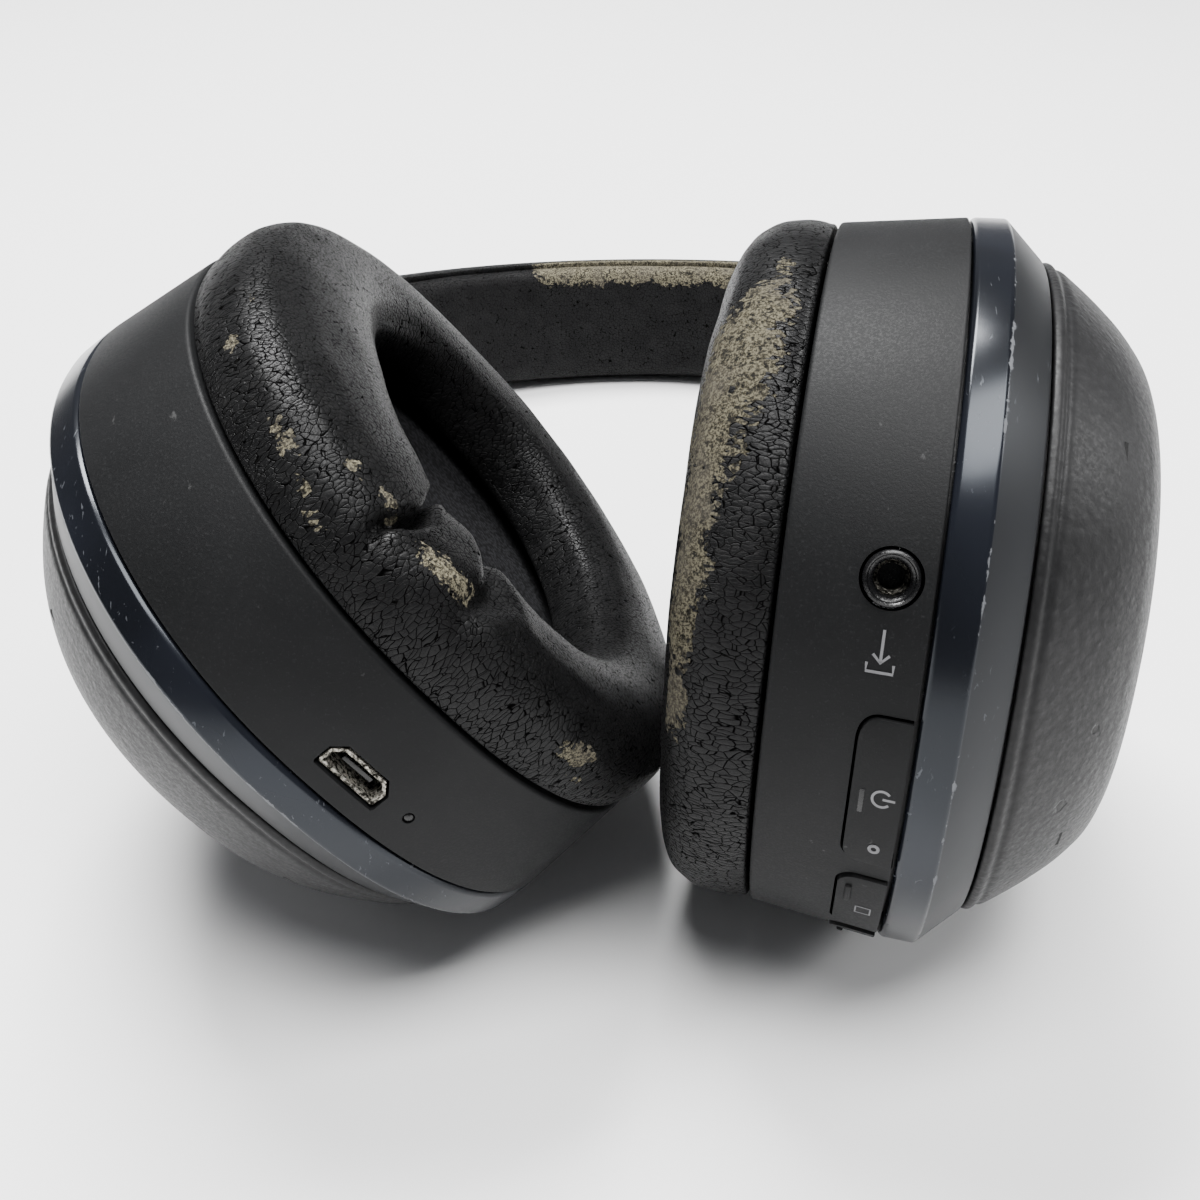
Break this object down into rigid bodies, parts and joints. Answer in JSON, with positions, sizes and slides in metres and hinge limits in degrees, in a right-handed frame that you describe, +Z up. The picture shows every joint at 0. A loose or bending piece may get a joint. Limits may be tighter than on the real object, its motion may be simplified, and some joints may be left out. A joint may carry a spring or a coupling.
{
  "type": "over ear headphones",
  "caption": "Folding over-ear headphones with padded headband, sliding arms, swivelling oval cups and worn leatherette cushions",
  "frame": {"origin": "middle of the footprint on the table that the headphones lie on", "axes": "+X towards the wearer's left cup, +Y towards the headband, +Z up, which is roughly the wearer's front"},
  "size_m": [0.1376, 0.198, 0.0859],
  "materials": {
    "leather": "worn semi-gloss leatherette",
    "cover_leather": "fine grain satin leatherette",
    "ring_gloss": "glossy blue-black",
    "housing_plastic": "matte charcoal",
    "dark_plastic": "matte black",
    "steel": "satin steel",
    "cloth": "thin acoustic cloth",
    "board": "circuit board",
    "magnet": "plated steel",
    "film": "thin film",
    "foil": "foil pouch",
    "light": "light guide"
  },
  "bodies": {
    "headband": {"band_shell": "leather", "band_cushion": "leather", "band_spring": "steel", "end_sleeve_left": "dark_plastic", "end_sleeve_right": "dark_plastic", "detent_clip_left": "steel", "detent_clip_right": "steel"},
    "slider_left": {"slider_strip_left": "steel", "strip_rivet_left": "steel", "hinge_block_left": "dark_plastic", "hinge_pin_left": "steel"},
    "arm_left": {"fold_arm_left": "dark_plastic", "swivel_pin_left": "steel", "swivel_washer_left": "steel"},
    "yoke_left": {"yoke_left": "dark_plastic"},
    "cup_left": {"ear_pad_left": "leather", "scrim_left": "cloth", "baffle_left": "dark_plastic", "housing_left": "housing_plastic", "driver_basket_left": "dark_plastic", "diaphragm_left": "film", "magnet_left": "magnet", "trim_ring_left": "ring_gloss", "outer_cover_left": "cover_leather", "chassis_left": "dark_plastic", "circuit_board_left": "board", "rear_pivot_pin_left": "steel", "front_pivot_pin_left": "steel", "jack_socket": "dark_plastic"},
    "slider_right": {"slider_strip_right": "steel", "strip_rivet_right": "steel", "hinge_block_right": "dark_plastic", "hinge_pin_right": "steel"},
    "arm_right": {"fold_arm_right": "dark_plastic", "swivel_pin_right": "steel", "swivel_washer_right": "steel"},
    "yoke_right": {"yoke_right": "dark_plastic"},
    "cup_right": {"ear_pad_right": "leather", "scrim_right": "cloth", "baffle_right": "dark_plastic", "housing_right": "housing_plastic", "driver_basket_right": "dark_plastic", "diaphragm_right": "film", "magnet_right": "magnet", "trim_ring_right": "ring_gloss", "outer_cover_right": "cover_leather", "chassis_right": "dark_plastic", "circuit_board_right": "board", "rear_pivot_pin_right": "steel", "front_pivot_pin_right": "steel", "usb_socket": "steel", "charge_light": "light", "battery": "foil", "touch_board": "board"},
    "power_button": {"power_button": "housing_plastic"},
    "noise_button": {"noise_button": "housing_plastic"},
    "ambient_button": {"ambient_button": "housing_plastic"}
  },
  "joints": [
    {"name": "slide_left", "type": "slide", "parent": "headband", "child": "slider_left", "axis": [0.3022, 0.9361, -0.1801], "range_m": [0, 0.01]},
    {"name": "fold_left", "type": "hinge", "parent": "slider_left", "child": "arm_left", "pos_m": [0.05226, 0.01415, 0.03027], "axis": [-0.0301, 0.1982, 0.9797], "range_deg": [0, 12]},
    {"name": "swivel_left", "type": "hinge", "parent": "arm_left", "child": "yoke_left", "pos_m": [0.04561, -0.00644, 0.03423], "axis": [0.3022, 0.9361, -0.1801], "range_deg": [-8, 0]},
    {"name": "tilt_left", "type": "hinge", "parent": "yoke_left", "child": "cup_left", "pos_m": [0.04128, -0.01983, 0.0368], "axis": [0.0281, 0.1801, 0.9832], "range_deg": [0, 8]},
    {"name": "slide_right", "type": "slide", "parent": "headband", "child": "slider_right", "axis": [-0.3022, 0.9325, -0.1979], "range_m": [0, 0.01]},
    {"name": "fold_right", "type": "hinge", "parent": "slider_right", "child": "arm_right", "pos_m": [-0.04908, 0.01354, 0.02727], "axis": [0.0301, -0.1982, -0.9797], "range_deg": [0, 12]},
    {"name": "swivel_right", "type": "hinge", "parent": "arm_right", "child": "yoke_right", "pos_m": [-0.04243, -0.00697, 0.03163], "axis": [0.3022, -0.9325, 0.1979], "range_deg": [-39, 4]},
    {"name": "tilt_right", "type": "hinge", "parent": "yoke_right", "child": "cup_right", "pos_m": [-0.03811, -0.0203, 0.03446], "axis": [0.6255, 0.0373, -0.7793], "range_deg": [0, 8]},
    {"name": "power_button_press", "type": "slide", "parent": "cup_left", "child": "power_button", "axis": [0.128, 0.9909, -0.0422], "range_m": [0, 0.0005], "stiffness_N_per_m": 500},
    {"name": "noise_button_press", "type": "slide", "parent": "cup_left", "child": "noise_button", "axis": [0.1197, 0.9103, 0.3962], "range_m": [0, 0.0005], "stiffness_N_per_m": 500},
    {"name": "ambient_button_press", "type": "slide", "parent": "cup_left", "child": "ambient_button", "axis": [0.0884, 0.6551, 0.7503], "range_m": [0, 0.0005], "stiffness_N_per_m": 500}
  ]
}
